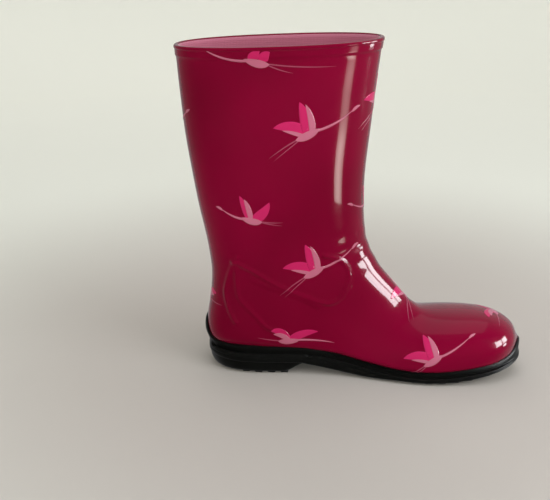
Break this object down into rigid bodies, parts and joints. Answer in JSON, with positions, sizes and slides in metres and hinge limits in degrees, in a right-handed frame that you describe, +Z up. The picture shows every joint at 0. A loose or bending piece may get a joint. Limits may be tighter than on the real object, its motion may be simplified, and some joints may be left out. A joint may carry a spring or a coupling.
{
  "type": "rubber rain boot",
  "caption": "Left mid-calf rain boot in glossy rubber with a raised mouth band, knit lining, black cup sole with low heel, and a loose footbed.",
  "frame": {"origin": "centre of the boot's bounding box, on the ground under the tread", "axes": "+X from the heel to the toe, +Y to the outer side of this left foot, +Z up the leg"},
  "size_m": [0.2932, 0.0938, 0.2828],
  "materials": {
    "shell_rubber": "gloss",
    "sole_rubber": "satin",
    "lining_knit": "matt knit",
    "seam_thread": "matt thread",
    "canvas": "matt rubberised canvas",
    "board": "matt fibreboard",
    "filler": "matt cork and rubber",
    "shank_steel": "satin",
    "footbed_foam": "matt foam",
    "footbed_cloth": "matt knit"
  },
  "bodies": {
    "boot": {"upper_shell": "shell_rubber", "topline_band": "shell_rubber", "leg_lining": "lining_knit", "foot_lining": "lining_knit", "lining_back_seam": "seam_thread", "board_stitching": "seam_thread", "toe_puff": "canvas", "heel_counter": "canvas", "ankle_pad_inner": "canvas", "ankle_pad_outer": "canvas", "lasting_board": "board", "forefoot_filler": "filler", "heel_filler": "filler", "shank": "shank_steel", "rand": "sole_rubber", "outsole": "sole_rubber", "heel_block": "sole_rubber"},
    "footbed": {"footbed_foam": "footbed_foam", "footbed_cover": "footbed_cloth"}
  },
  "joints": [
    {"name": "footbed_lift", "type": "hinge", "parent": "boot", "child": "footbed", "pos_m": [0.13753, -0.002, 0.0245], "axis": [0, 1, 0], "range_deg": [0, 5]}
  ]
}
